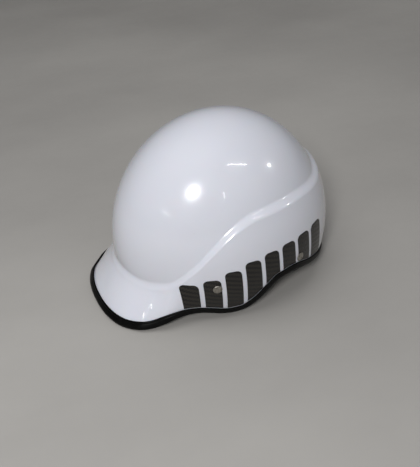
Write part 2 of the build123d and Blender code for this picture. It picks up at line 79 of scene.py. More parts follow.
HINGE_X = 76.0
FRONT_BAR = Vector((HINGE_X, -47, 12))
REAR_BAR = Vector((HINGE_X, 47, 22))
APEX = Vector((27, 0, 5))
WEB = 1.3                       # webbing thickness
WEB_WIDTH = 18.0
LAP = 2.75                      # from a bar to the middle of the webbing round it
CHIN_RISE = 9.6
BUCKLE_Y = 25.0
TAIL_RISE = 2.1
SLOT_TURN = 40.0


# ---------------------------------------------------------------- the shell's form
def folded(angle):
    return 180 - abs(180 - abs(angle) % 360)


def station_table(stations):
    """Angles, values and slopes of a curve that is level at both ends and never overshoots."""
    angles = list(stations)
    values = list(stations.values())
    last = len(angles) - 1
    rates = [(values[i + 1] - values[i]) / (angles[i + 1] - angles[i]) for i in range(last)]
    slopes = [0.0] * (last + 1)
    for i in range(1, last):
        if rates[i - 1] * rates[i] > 0:
            slopes[i] = 2 * rates[i - 1] * rates[i] / (rates[i - 1] + rates[i])
    return angles, values, slopes


TABLES = {name: station_table(s) for name, s in (("ridge", RIDGE), ("lip", LIP), ("reach", REACH))}


def between(name, angle):
    angle = folded(angle)
    angles, values, slopes = TABLES[name]
    i = max(k for k in range(len(angles) - 1) if angles[k] <= angle)
    span = angles[i + 1] - angles[i]
    s = (angle - angles[i]) / span
    return (values[i] * (1 + 2 * s) * (1 - s) ** 2 + slopes[i] * span * s * (1 - s) ** 2
            + values[i + 1] * s * s * (3 - 2 * s) + slopes[i + 1] * span * s * s * (s - 1))


def wall_radius(angle, z, inset=0.0):
    """Distance from the vertical axis to the shell: dome, then the band's ledge, then the brim."""
    a, b, h = (half - inset for half in DOME)
    level = math.sqrt(max(1 - ((z - DOME_Z) / h) ** 2, 0))
    sine, cosine = math.sin(math.radians(angle)), math.cos(math.radians(angle))
    radius = level * a * b / math.hypot(b * sine, a * cosine)
    ridge = between("ridge", angle)
    below = ridge - z
    step = min(max((below + 2) / LEDGE_HEIGHT, 0), 1)
    side = min(max((folded(angle) - 20) / 35, 0), 1)
    ledge = FRONT_LEDGE + (LEDGE - FRONT_LEDGE) * side
    radius += ledge * step * step * (3 - 2 * step)
    if below > 0:
        drop = ridge - between("lip", angle)
        flare = (between("reach", angle) - ledge) / (math.hypot(drop, VALLEY) - VALLEY)
        radius += flare * (math.hypot(below, VALLEY) - VALLEY)
    return radius


def wall_point(angle, z, inset=0.0):
    radius = wall_radius(angle, z, inset)
    return Vector((radius * math.sin(math.radians(angle)), -radius * math.cos(math.radians(angle)), z))


def wall_normal(angle, z):
    along = wall_point(angle + 0.5, z) - wall_point(angle - 0.5, z)
    up = wall_point(angle, z + 0.5) - wall_point(angle, z - 0.5)
    return along.cross(up).normalized()


def rim(angle):
    """Middle of the wall at the trim's lip, and the directions down the wall and out of it."""
    z = between("lip", angle)
    ahead, behind = (wall_point(a, between("lip", a)) for a in (angle + 0.5, angle - 0.5))
    along = (ahead - behind).normalized()
    down = (wall_point(angle, z - 1) - wall_point(angle, z + 1)).normalized()
    out = (down.cross(along) * -1).normalized()
    down = along.cross(out) * -1
    return (wall_point(angle, z) + wall_point(angle, z, WALL)) / 2, down.normalized(), out


def angle_at(y, z):
    """Angle of the left wall's point at this Y and height."""
    low, high = 10.0, 175.0
    for _ in range(30):
        middle = (low + high) / 2
        if -wall_radius(middle, z) * math.cos(math.radians(middle)) < y:
            low = middle
        else:
            high = middle
    return (low + high) / 2


# ---------------------------------------------------------------- mesh helpers
def new_object(name, points, faces, material, body, replaced=(), smooth=180):
    """A mesh object from points in millimetres, riding on a body and standing for CAD nodes."""
    mesh = bpy.data.meshes.new(name)
    mesh.from_pydata([tuple(Vector(p) * MM) for p in points], [], faces)
    mesh.validate()
    obj = bpy.data.objects.new(name, mesh)
    bpy.context.scene.collection.objects.link(obj)
    finish_object(obj, material, body, replaced, smooth)
    return obj


def finish_object(obj, material, body, replaced=(), smooth=180):
    cleaner = bmesh.new()
    cleaner.from_mesh(obj.data)
    bmesh.ops.recalc_face_normals(cleaner, faces=cleaner.faces)
    cleaner.to_mesh(obj.data)
    cleaner.free()
    shade(obj, smooth)
    obj.data.materials.clear()
    obj.data.materials.append(material)
    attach(obj, body)
    if replaced:
        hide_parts(*replaced)


def shade(obj, degrees):
    obj.data.polygons.foreach_set("use_smooth", [True] * len(obj.data.polygons))
    if degrees < 180:
        obj.data.set_sharp_from_angle(angle=math.radians(degrees))


def grid_faces(rows, columns, wrap=False, start=0):
    """Quads of a grid whose points run row by row; wrap joins each row's end to its start."""
    faces = []
    for r in range(rows - 1):
        for c in range(columns if wrap else columns - 1):
            d = (c + 1) % columns
            a, b = start + r * columns, start + (r + 1) * columns
            faces.append((a + c, a + d, b + d, b + c))
    return faces


def lathe(profile, origin, normal, turns=48):
    """Points and faces of a turned profile of (radius, height), its first and last on the axis."""
    turn = normal.to_track_quat("Z", "Y")
    points = []
    for radius, height in profile:
        for i in range(turns):
            a = 2 * math.pi * i / turns
            points.append(origin + turn @ Vector((radius * math.cos(a), radius * math.sin(a), height)))
    return points, grid_faces(len(profile), turns, wrap=True)


# ---------------------------------------------------------------- node helpers
class Nodes:
    """Builds one procedural material."""

    def __init__(self, name, **values):
        self.material = bpy.data.materials.new(name)
        self.material.use_nodes = True
        self.tree = self.material.node_tree
        self.shader = self.tree.nodes["Principled BSDF"]
        for key, value in values.items():
            self.shader.inputs[key.replace("_", " ")].default_value = value
        self.place = self.tree.nodes.new("ShaderNodeTexCoord").outputs["Object"]

    def node(self, kind, **settings):
        made = self.tree.nodes.new(kind)
        for key, value in settings.items():
            setattr(made, key, value)
        return made

    def put(self, socket, value):
        if isinstance(value, bpy.types.NodeSocket):
            self.tree.links.new(value, socket)
        else:
            socket.default_value = value

    def math(self, operation, a, b=0.0, clamp=False):
        made = self.node("ShaderNodeMath", operation=operation, use_clamp=clamp)
        self.put(made.inputs[0], a)
        self.put(made.inputs[1], b)
        return made.outputs[0]

    def noise(self, scale, detail=3.0, stretch=(1, 1, 1), roughness=0.5, place=None):
        mapping = self.node("ShaderNodeMapping")
        self.put(mapping.inputs["Vector"], place or self.place)
        mapping.inputs["Scale"].default_value = stretch
        made = self.node("ShaderNodeTexNoise")
        self.put(made.inputs["Vector"], mapping.outputs[0])
        made.inputs["Scale"].default_value = scale
        made.inputs["Detail"].default_value = detail
        made.inputs["Roughness"].default_value = roughness
        return made.outputs["Fac"]

    def cells(self, scale, feature="F1"):
        made = self.node("ShaderNodeTexVoronoi", feature=feature)
        self.put(made.inputs["Vector"], self.place)
        made.inputs["Scale"].default_value = scale
        return made.outputs["Distance"]

    def spread(self, value, low, high, to_low, to_high):
        made = self.node("ShaderNodeMapRange")
        self.put(made.inputs["Value"], value)
        for key, number in zip(("From Min", "From Max", "To Min", "To Max"), (low, high, to_low, to_high)):
            made.inputs[key].default_value = number
        return made.outputs[0]

    def mix(self, share, a, b):
        made = self.node("ShaderNodeMix", data_type="RGBA")
        self.put(made.inputs[0], share)
        for socket, colour in ((made.inputs[6], a), (made.inputs[7], b)):
            self.put(socket, colour if isinstance(colour, bpy.types.NodeSocket) else (*colour, 1))
        return made.outputs[2]

    def axes(self, place=None):
        made = self.node("ShaderNodeSeparateXYZ")
        self.put(made.inputs[0], place or self.place)
        return made.outputs

    def bump(self, height, distance, strength=1.0, onto=None):
        made = self.node("ShaderNodeBump")
        made.inputs["Distance"].default_value = distance
        made.inputs["Strength"].default_value = strength
        self.put(made.inputs["Height"], height)
        if onto is not None:
            self.put(made.inputs["Normal"], onto)
        return made.outputs[0]

    def set(self, **links):
        for key, value in links.items():
            self.put(self.shader.inputs[key.replace("_", " ")], value)
        return self.material


# ---------------------------------------------------------------- materials
def paint():
    m = Nodes("shell_paint", Coat_Weight=1.0, Coat_Roughness=0.035, Coat_IOR=1.5, IOR=1.5,
              Subsurface_Weight=0.06, Subsurface_Scale=0.002)
    cloud = m.noise(9, 4)
    colour = m.mix(m.spread(cloud, 0.35, 0.65, 0, 1), (0.70, 0.715, 0.79), (0.72, 0.735, 0.81))
    scuffs = m.math("GREATER_THAN", m.noise(240, 5, (1, 0.25, 1), 0.62), 0.72)
    colour = m.mix(m.math("MULTIPLY", scuffs, 0.12), colour, (0.55, 0.55, 0.57))
    peel = m.noise(420, 2)
    wave = m.noise(26, 2)
    normal = m.bump(peel, 0.00001, 0.45)
    normal = m.bump(wave, 0.00012, 0.18, normal)
    return m.set(Base_Color=colour, Roughness=m.spread(cloud, 0.3, 0.7, 0.16, 0.24), Normal=normal,
                 Coat_Normal=m.bump(wave, 0.00012, 0.12))


def rubber():
    m = Nodes("trim_rubber", IOR=1.42, Specular_IOR_Level=0.16)
    dust = m.spread(m.noise(160, 6), 0.55, 0.8, 0, 1)
    colour = m.mix(dust, (0.0015, 0.0016, 0.0016), (0.007, 0.0068, 0.0066))
    normal = m.bump(m.noise(900, 4), 0.00004, 0.5)
    return m.set(Base_Color=colour, Normal=m.bump(m.noise(70, 3), 0.0002, 0.25, normal),
                 Roughness=m.spread(m.noise(60, 4), 0.3, 0.7, 0.34, 0.5))


def carbon():
    """Two by two twill of 1.9 mm tows, laid at a slant, under a clear coat."""
    m = Nodes("carbon", Coat_Weight=0.35, Coat_Roughness=0.05, IOR=1.45)
    tow = 0.0019
    _, y, z = m.axes()
    turn = math.radians(28)
    p = m.math("ADD", m.math("MULTIPLY", y, math.cos(turn) / tow), m.math("MULTIPLY", z, math.sin(turn) / tow))
    q = m.math("SUBTRACT", m.math("MULTIPLY", z, math.cos(turn) / tow), m.math("MULTIPLY", y, math.sin(turn) / tow))
    i, j = m.math("FLOOR", p), m.math("FLOOR", q)
    phase = m.math("FLOORED_MODULO", m.math("ADD", i, j), 4)
    warp = m.math("LESS_THAN", phase, 1.5)
    weft = m.math("SUBTRACT", 1, warp)

    def crown(coordinate):
        share = m.math("FRACT", coordinate)
        return m.math("SINE", m.math("MULTIPLY", share, math.pi))

    across = m.math("ADD", m.math("MULTIPLY", warp, crown(p)), m.math("MULTIPLY", weft, crown(q)))
    fine_warp = m.math("SINE", m.math("MULTIPLY", p, 44))
    fine_weft = m.math("SINE", m.math("MULTIPLY", q, 44))
    fibre = m.math("ADD", m.math("MULTIPLY", warp, fine_warp), m.math("MULTIPLY", weft, fine_weft))
    # Warp and weft are the same black fibre; the warp tows are painted lighter and browner, a painted sheen for how
    # each tow direction catches the light.
    painted_sheen_tone = m.mix(warp, (0.0010, 0.0010, 0.0009), (0.030, 0.025, 0.020))
    # Each tow is painted darker towards its edges: painted shade where the tows dip under each other.
    colour = m.mix(m.spread(across, 0.1, 1.0, 0.75, 0), painted_sheen_tone, (0.002, 0.002, 0.002))
    colour = m.mix(m.spread(m.noise(30, 3), 0.4, 0.7, 0, 0.25), colour, (0.013, 0.012, 0.010))
    height = m.math("ADD", across, m.math("MULTIPLY", fibre, 0.12))
    return m.set(Base_Color=colour, Normal=m.bump(height, 0.00012, 0.7),
                 Roughness=m.spread(warp, 0, 1, 0.30, 0.42), Metallic=m.spread(across, 0, 1, 0.0, 0.35))


def metal():
    m = Nodes("rivet_metal", Metallic=1.0, Anisotropic=0.3)
    stain = m.spread(m.noise(380, 5), 0.42, 0.7, 0, 1)
    colour = m.mix(stain, (0.42, 0.40, 0.36), (0.22, 0.205, 0.18))
    return m.set(Base_Color=colour, Roughness=m.spread(m.noise(900, 4, (1, 4, 1)), 0.3, 0.7, 0.34, 0.52),
                 Normal=m.bump(m.noise(1500, 3, (1, 6, 1)), 0.00002, 0.5))


def plastic():
    m = Nodes("black_plastic", IOR=1.48)
    grain = m.cells(1500)
    colour = m.mix(m.spread(m.noise(45, 4), 0.35, 0.7, 0, 1), (0.014, 0.014, 0.015), (0.026, 0.026, 0.027))
    return m.set(Base_Color=colour, Roughness=m.spread(m.noise(120, 3), 0.3, 0.7, 0.38, 0.56),
                 Normal=m.bump(grain, 0.00006, 0.5))


def lining():
    """Moulded EVA of the sub shell, with a fine closed-cell skin."""
    m = Nodes("sub_shell_foam")
    colour = m.mix(m.spread(m.noise(60, 5), 0.3, 0.7, 0, 1), (0.030, 0.031, 0.034), (0.055, 0.056, 0.060))
    return m.set(Base_Color=colour, Roughness=m.spread(m.noise(200, 2), 0.3, 0.7, 0.68, 0.85),
                 Normal=m.bump(m.cells(900), 0.00012, 0.6))


def mesh_fabric(name, dark, light, scale):
    """Knitted spacer fabric: open hexagonal holes over foam."""
    m = Nodes(name, Sheen_Weight=0.35, Sheen_Roughness=0.5)
    holes = m.cells(scale)
    thread = m.spread(holes, 0.12, 0.5, 0, 1)
    colour = m.mix(thread, dark, light)
    colour = m.mix(m.spread(m.noise(35, 4), 0.4, 0.75, 0, 0.5), colour, tuple(c * 0.55 for c in light))
    normal = m.bump(thread, 0.0003, 0.6)
    return m.set(Base_Color=colour, Roughness=m.spread(m.noise(300, 3), 0.3, 0.7, 0.75, 0.92),
                 Normal=m.bump(m.noise(2600, 3), 0.00006, 0.6, normal))


def weave():
    """Black nylon webbing: ribs across the strap, closer stitches along its two edges."""
    m = Nodes("webbing", Sheen_Weight=0.25, Sheen_Roughness=0.4)
    x, y, _ = m.axes(m.node("ShaderNodeUVMap", uv_map="strap").outputs[0])
    ribs = m.math("SINE", m.math("MULTIPLY", x, 2 * math.pi / 0.0011))
    rows = m.math("SINE", m.math("MULTIPLY", y, 2 * math.pi / 0.0016))
    knit = m.math("MULTIPLY", ribs, rows)
    edge = m.spread(m.math("ABSOLUTE", y), 0.0074, 0.0078, 0, 1)
    height = m.math("ADD", m.math("MULTIPLY", knit, 0.5), m.math("MULTIPLY", edge, 0.6))
    # The raised knit is painted lighter and its hollows darker, following the bump's height: painted sheen and
    # painted shade.
    colour = m.mix(m.spread(knit, -1, 1, 0, 1), (0.008, 0.008, 0.009), (0.034, 0.034, 0.037))
    return m.set(Base_Color=colour, Roughness=m.spread(m.noise(500, 3), 0.3, 0.7, 0.55, 0.75),
                 Normal=m.bump(height, 0.00022, 0.8))


def backdrop():
    m = Nodes("backdrop")
    fold = m.noise(3.0, 5, (1, 0.6, 1))
    # The cloth is painted darker and lighter along the same folds that bump it: painted fold shading.
    colour = m.mix(m.spread(fold, 0.35, 0.65, 0, 1), (0.355, 0.343, 0.327), (0.415, 0.402, 0.382))
    normal = m.bump(fold, 0.02, 0.35)
    return m.set(Base_Color=colour, Roughness=m.spread(m.noise(60, 3), 0.3, 0.7, 0.72, 0.88),
                 Normal=m.bump(m.noise(1400, 2), 0.0002, 0.35, normal))


PAINT = paint()
RUBBER = rubber()
CARBON = carbon()
METAL = metal()
PLASTIC = plastic()
LINING = lining()
PAD_FABRIC = mesh_fabric("pad_fabric", (0.012, 0.012, 0.014), (0.060, 0.062, 0.068), 620)
FOAM = mesh_fabric("foam", (0.018, 0.019, 0.021), (0.085, 0.088, 0.095), 520)
WEBBING = weave()


# ---------------------------------------------------------------- shell
COLUMNS = 240


def wall_levels(angle, inset, edge):
    """Heights down the wall, closest together over the ledge."""
    ridge = between("ridge", angle)
    height = DOME[2] - inset
    end = math.acos((ridge + 7 - DOME_Z) / height)
    levels = [DOME_Z + height * math.cos(0.008 + (end - 0.008) * i / 52) for i in range(52)]
    levels += [ridge + 7 - 21 * i / 36 for i in range(36)]
    return levels + [ridge - 14 - (ridge - 14 - edge) * i / 24 for i in range(25)]


def build_shell():
    points, rows = [], 113
    rings = []
    for c in range(COLUMNS):
        angle = 360 * c / COLUMNS
        _, down, _ = rim(angle)
        edge = between("lip", angle) + down.z * EDGE_DEPTH
        outer = [wall_point(angle, z) for z in wall_levels(angle, 0, edge)]
        inner = [wall_point(angle, z, WALL) for z in wall_levels(angle, WALL, edge)]
        rings.append(outer + inner[::-1])
    for r in range(2 * rows):
        points += [rings[c][r] for c in range(COLUMNS)]
    faces = grid_faces(2 * rows, COLUMNS, wrap=True)
    for ring, top in ((0, DOME_Z + DOME[2]), (2 * rows - 1, DOME_Z + DOME[2] - WALL)):
        points.append(Vector((0, 0, top)))
        first = ring * COLUMNS
        faces += [(first + c, first + (c + 1) % COLUMNS, len(points) - 1) for c in range(COLUMNS)]
    return new_object("shell_moulding", points, faces, PAINT, "shell", ["outer_shell"], 60)


def build_trim():
    """U-shaped rubber edging with a bead along each lip; its two ends meet at the rear."""
    half, foot = TRIM_HALF, TRIM_DEPTH
    side = [(EDGE_DEPTH + 0.2, 1.75), (0.6, 1.75), (0.05, 1.95), (-0.1, 2.3), (0.05, 2.75), (0.5, 3.1),
            (1.0, half), (1.7, half), (2.1, half - 0.1), (2.35, half - 0.28), (2.6, half - 0.1),
            (3.0, half), (4.2, half), (5.2, half), (TRIM_SIDE, half)]
    bend = [(TRIM_SIDE + (foot - TRIM_SIDE) * math.sin(t), half * math.cos(t))
            for t in (math.radians(12 * k) for k in range(1, 15))]
    profile = side + bend + [(d, -s) for d, s in side[::-1]]
    angles = [180.03 + 359.94 * i / 420 for i in range(421)]
    points = []
    for angle in angles:
        middle, down, out = rim(angle)
        points += [middle + down * depth + out * offset for depth, offset in profile]
    faces = grid_faces(len(angles), len(profile), wrap=True)
    last = (len(angles) - 1) * len(profile)
    faces.append(tuple(range(len(profile))))
    faces.append(tuple(last + k for k in reversed(range(len(profile)))))
    return new_object("rubber_trim", points, faces, RUBBER, "shell", ["edge_trim"], 55)


def bar_top(y):
    return 64 + 17 * (y + 30) / math.hypot(y + 30, 45)


def build_bars(side):
    """Slanted carbon bars with rounded upper corners, from the trim up the band."""
    across = [0, 0, 0.015] + [0.5 - 0.5 * math.cos(math.pi * (0.08 + 0.84 * k / 12)) for k in range(13)]
    across += [0.985, 1, 1]
    upward = [0, 0, 0.006] + [0.02 + 0.96 * k / 22 for k in range(23)] + [0.994, 1, 1]
    half = BAR_WIDTH / 2
    points, faces = [], []
    for bar in range(BAR_COUNT):
        middle = BAR_FIRST + bar * BAR_PITCH
        columns = []
        for u in across:
            offset = (u - 0.5) * BAR_WIDTH
            corner = max(abs(offset) - (half - BAR_ROUND), 0)
            top = bar_top(middle) - BAR_ROUND + math.sqrt(max(BAR_ROUND ** 2 - corner ** 2, 0))
            for _ in range(4):
                angle = angle_at(middle + offset + BAR_SLANT * top, top)
                top = min(top, between("ridge", angle) - 7, INLAY_TOP)
            low = 20.0
            for _ in range(12):
                low = between("lip", angle_at(middle + offset + BAR_SLANT * low, low)) + 0.3
            columns.append((offset, low, max(top, low + 1)))
        start = len(points)
        for row, v in enumerate(upward):
            for column, (offset, low, top) in enumerate(columns):
                z = low + (top - low) * v
                angle = angle_at(middle + offset + BAR_SLANT * z, z)
                ring = min(row, column, len(upward) - 1 - row, len(columns) - 1 - column)
                rise = (-0.25, INLAY - 0.12, INLAY)[min(ring, 2)]
                point = wall_point(angle, z) + wall_normal(angle, z) * rise
                points.append((side * point.x, point.y, point.z))
        faces += grid_faces(len(upward), len(columns), start=start)
    return points, faces


def build_rivets():
    """Domed rivet heads with a dimple, their shanks and formed tails."""
    head, shank, tail = RIVET_HEAD, RIVET_SHANK, RIVET_TAIL
    base = INLAY + 0.15
    profile = [(0, base + 0.62), (1.2, base + 0.64), (1.7, base + 0.78), (2.1, base + 0.98), (2.6, base + 1.03),
               (3.4, base + 0.95), (4.0, base + 0.76), (4.4, base + 0.52), (4.7, base + 0.28),
               (head, base + 0.12), (head - 0.1, base), (shank, base),
               (shank, -tail), (3.3, -tail), (3.6, -tail - 0.25), (3.5, -tail - 0.6), (2.6, -tail - 1.05),
               (1.4, -tail - 1.2), (0, -tail - 1.2)]
    points, faces = [], []
    for angle, z in RIVETS:
        some, theirs = lathe(profile, wall_point(angle, z), wall_normal(angle, z))
        faces += [tuple(len(points) + k for k in face) for face in theirs]
        points += some
    return new_object("rivets", points, faces, METAL, "shell", ["anchor_rivets"], 50)


build_shell()
build_trim()
left_points, left_faces = build_bars(1)
for side_name, side in (("left", 1), ("right", -1)):
    mirrored = [(side * p[0], p[1], p[2]) for p in left_points]
    new_object("carbon_bars_" + side_name, mirrored, left_faces, CARBON, "shell",
               ["carbon_panels_" + side_name], 50)
build_rivets()

# ---------------------------------------------------------------- panel frames of the harness
ALONG = (REAR_BAR - FRONT_BAR).normalized()
MIDDLE = (FRONT_BAR + REAR_BAR) / 2
OUTWARD = ALONG.cross(APEX - MIDDLE).normalized()
TO_APEX = OUTWARD.cross(ALONG).normalized()
HALF_SPAN = (REAR_BAR - FRONT_BAR).length / 2
CHIN_Y = (APEX - MIDDLE).dot(TO_APEX)
SLOT_X, SLOT_Y = 12.5, CHIN_Y - 12


def panel_point(x, y, z=0.0):
    return MIDDLE + ALONG * x + TO_APEX * y + OUTWARD * z


def smooth_path(knots, steps):
    """Points of a Catmull-Rom curve through the knots."""
    knots = [Vector(k) for k in knots]
    knots = [knots[0] * 2 - knots[1]] + knots + [knots[-1] * 2 - knots[-2]]
    found = []
    for i in range(1, len(knots) - 2):
        p0, p1, p2, p3 = knots[i - 1:i + 3]
        for k in range(steps):
            t = k / steps
            found.append(0.5 * (2 * p1 + (p2 - p0) * t + (2 * p0 - 5 * p1 + 4 * p2 - p3) * t * t
                                + (3 * p1 - p0 - 3 * p2 + p3) * t ** 3))
    return found + [knots[-2]]


def ribbon(points, widths):
    """Webbing along points, each with its width direction: rounded edges, and UVs in metres."""
    half, thick = WEB_WIDTH / 2, WEB / 2
    edge = [(-half + thick * (1 - math.sin(t)), thick * math.cos(t))
            for t in (math.radians(a) for a in (0, 30, 60, 90, 120, 150, 180))]
    section = list(edge)
    section += [(half * k / 4, -thick) for k in range(-3, 4)]
    section += [(-x, z) for x, z in edge[::-1]]
    section += [(half * k / 4, thick) for k in range(3, -4, -1)]
    verts, coordinates, length = [], [], 0.0
    for i, point in enumerate(points):
        ahead, behind = points[min(i + 1, len(points) - 1)], points[max(i - 1, 0)]
        tangent = (ahead - behind).normalized()
        width = (widths[i] - tangent * widths[i].dot(tangent)).normalized()
        up = tangent.cross(width)
        if i:
            length += (point - points[i - 1]).length
        for x, z in section:
            verts.append(point + width * x + up * z)
            coordinates.append((length * MM, x * MM))
    count = len(section)
    faces = grid_faces(len(points), count, wrap=True)
    faces.append(tuple(range(count)))
    faces.append(tuple((len(points) - 1) * count + k for k in reversed(range(count))))
    return verts, faces, coordinates


def webbing(name, points, widths, side, body, node):
    verts, faces, coordinates = ribbon(points, widths)
    verts = [(side * v.x, v.y, v.z) for v in verts]
    obj = new_object(name, verts, faces, WEBBING, body, [node], 60)
    layer = obj.data.uv_layers.new(name="strap")
    for loop in obj.data.loops:
        layer.data[loop.index].uv = coordinates[loop.vertex_index]
    return obj


def loop_path(lap, toward):
    """Webbing round a bar in side view, as (away from the bar, over it), from the tail's end."""
    around = [(-lap * math.cos(t), -lap * math.sin(t)) for t in (math.radians(a) for a in range(-60, 61, 20))]
    tail = [(15.0, -WEB / 2 - 0.05), (11.0, -WEB / 2 - 0.05), (8.0, -WEB / 2 - 0.1), (5.0, -1.45), (2.2, -2.5)]
    path = tail + [(x, -y) for x, y in around[::-1]] + [(x, -y) for x, y in tail[::-1][:-2]]
    return [(x, y * toward) for x, y in path]


def side_strap(side):
    """One continuous ribbon: tail, round the hanger's bar, along, round the divider's bar, tail."""
    turn = math.radians(SLOT_TURN)
    inward = Vector((-side * math.sin(turn), math.cos(turn)))
    start, end = Vector((side * HALF_SPAN, 0)), Vector((side * SLOT_X, SLOT_Y))
    reach = (end - start).length
    count = 60
    line = []
    for i in range(count + 1):
        t = i / count
        a, b, c, d = (1 - t) ** 3, 3 * t * (1 - t) ** 2, 3 * t * t * (1 - t), t ** 3
        line.append(start * a + (start + Vector((0, 1)) * reach * 0.36) * b
                    + (end - inward * reach * 0.36) * c + end * d)
    lengths = [0.0]
    for i in range(count):
        lengths.append(lengths[-1] + (line[i + 1] - line[i]).length)
    total = lengths[-1]

    def at(s):
        if s <= 0:
            return start + Vector((0, 1)) * s, Vector((0, 1))
        if s >= total:
            return end + inward * (s - total), inward
        i = max(k for k in range(count) if lengths[k] <= s)
        share = (s - lengths[i]) / (lengths[i + 1] - lengths[i])
        before, after = line[max(i - 1, 0)], line[min(i + 2, count)]
        return line[i].lerp(line[i + 1], share), (after - before).normalized()

    first = loop_path(LAP, 1)
    second = [(total - x, y) for x, y in loop_path(LAP, 1)][::-1]
    run = [(x, WEB / 2 + 0.05) for x in (15.0, total * 0.5, total - 15.0)]
    flat = smooth_path(first + run + second, 5)
    points, widths = [], []
    for s, n in flat:
        place, tangent = at(s)
        points.append(panel_point(place.x, place.y, n))
        widths.append(ALONG * tangent.y - TO_APEX * tangent.x)
    return points, widths


def chin_path(with_tail):
    """Chin webbing in side view: round the divider's bar, up, and round the buckle's bar."""
    out = [(CHIN_Y - x, y) for x, y in loop_path(LAP, 1)]
    climb = [(CHIN_Y - 5.8, 5.6), (CHIN_Y - 8.4, 8.5), (CHIN_Y - 11.2, CHIN_RISE), (CHIN_Y - 16, CHIN_RISE)]
    end = BUCKLE_Y
    around = [(end - LAP * math.sin(t), CHIN_RISE - LAP * math.cos(t))
              for t in (math.radians(a) for a in range(10, 171, 20))]
    knots = out[3:-2] + climb + [(end + 4.4, CHIN_RISE - 0.35), (end + 1.9, CHIN_RISE - 2.1)] + around
    if with_tail:
        knots += [(end + 2.6, CHIN_RISE + 2.6), (end + 7, CHIN_RISE + TAIL_RISE - 0.3),
                  (CHIN_Y - 11, CHIN_RISE + TAIL_RISE), (CHIN_Y - 5, CHIN_RISE + TAIL_RISE + 1.0)]
    else:
        knots += [(end + 2.5, CHIN_RISE + 2.5), (end + 6, CHIN_RISE + 0.6), (end + 10, CHIN_RISE + 0.4)]
    flat = smooth_path(knots, 5)
    return [panel_point(0, y, z) for y, z in flat], [ALONG] * len(flat)


for side_name, side in (("left", 1), ("right", -1)):
    harness, chin = "harness_" + side_name, "chin_" + side_name
    for strap_name, end in (("front", -1), ("rear", 1)):
        webbing(f"{strap_name}_webbing_{side_name}", *side_strap(end), side, harness,
                f"{strap_name}_strap_{side_name}")
    webbing("chin_webbing_" + side_name, *chin_path(side < 0), side, chin, "chin_strap_" + side_name)


# ---------------------------------------------------------------- padded pieces
def swell(node, name, material, body, cap, voxel, shrink):
    """Padded piece from a CAD node: shrunk, remeshed, blown up by cloth pressure and capped."""
    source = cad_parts[node]
    mesh = source.data.copy()
    mesh.name = name
    obj = bpy.data.objects.new(name, mesh)
    bpy.context.scene.collection.objects.link(obj)
    melt = bmesh.new()
    melt.from_mesh(mesh)
    bmesh.ops.remove_doubles(melt, verts=melt.verts, dist=1e-6)
    melt.normal_update()
    melt.to_mesh(mesh)
    melt.free()
    bpy.context.view_layer.objects.active = obj
    remesh = obj.modifiers.new("Remesh", "REMESH")
    remesh.mode = "VOXEL"
    remesh.voxel_size = voxel
    bake(obj)
    rest = positions(obj)
    rest -= normals(obj) * shrink
    write_positions(obj, rest)
    cloth = obj.modifiers.new("Cloth", "CLOTH")
    cloth.settings.use_pressure = True
    cloth.settings.uniform_pressure_force = 4.0
    cloth.settings.effector_weights.gravity = 0
    cloth.settings.tension_stiffness = 12
    cloth.settings.compression_stiffness = 12
    cloth.settings.bending_stiffness = 3
    scene = bpy.context.scene
    for number in range(1, 15):
        scene.frame_set(number)
    bake(obj)
    scene.frame_set(1)
    moved = positions(obj) - rest
    far = np.maximum(np.linalg.norm(moved, axis=1, keepdims=True), 1e-9)
    write_positions(obj, rest + moved * np.minimum(1, cap / far))
    smooth = obj.modifiers.new("Smooth", "SMOOTH")
    smooth.factor, smooth.iterations = 0.5, 3
    finer = obj.modifiers.new("Finer", "SUBSURF")
    finer.levels = finer.render_levels = 1
    bake(obj)
    finish_object(obj, material, body, [node])
    return obj


def bake(obj):
    """Applies the object's modifiers to its mesh."""
    graph = bpy.context.evaluated_depsgraph_get()
    done = bpy.data.meshes.new_from_object(obj.evaluated_get(graph))
    obj.modifiers.clear()
    obj.data = done


def positions(obj):
    flat = np.zeros(len(obj.data.vertices) * 3)
    obj.data.vertices.foreach_get("co", flat)
    return flat.reshape(-1, 3)


def normals(obj):
    flat = np.zeros(len(obj.data.vertices) * 3)
    obj.data.vertices.foreach_get("normal", flat)
    return flat.reshape(-1, 3)


def write_positions(obj, values):
    obj.data.vertices.foreach_set("co", values.ravel())
    obj.data.update()


def keep_in_liner(obj, groove):
    """Holds a liner pad between the liner's two faces, and presses sewn channels into its inner one."""
    points = positions(obj) / MM
    centre = np.array([0, 0, DOME_Z])
    halves = np.array(DOME)
    local = points - centre
    outer = np.linalg.norm(local / (halves - LINER[0]), axis=1)
    inner = np.linalg.norm(local / (halves - LINER[1]), axis=1)
    local = local / np.maximum(outer, 1.0)[:, None]
    local = local / np.minimum(np.maximum(inner, 1e-6), 1.0)[:, None]
    depth = np.clip((np.linalg.norm(local / (halves - LINER[0]), axis=1)), 0.8, 1.0)
    near_inside = np.clip((0.955 - depth) / 0.05, 0, 1)
    shallow = groove(local + centre) * near_inside
    local = local * (1 + shallow / np.linalg.norm(local, axis=1))[:, None]
    write_positions(obj, (local + centre) * MM)


def channels(values, pitch, width, depth):
    """Depth of grooves that repeat every pitch, rounded to their width."""
    off = np.abs((values / pitch + 0.5) % 1 - 0.5) * pitch
    return depth * np.exp(-(off / width) ** 2)


def ribs_along_y(points):
    return channels(points[:, 0] + 12, 24, 3.4, 2.2)


def ribs_across(points):
    return channels(points[:, 0], 26, 3.4, 2.4)


def ribs_side(points):
    return channels(points[:, 1], 28, 3.4, 2.4)


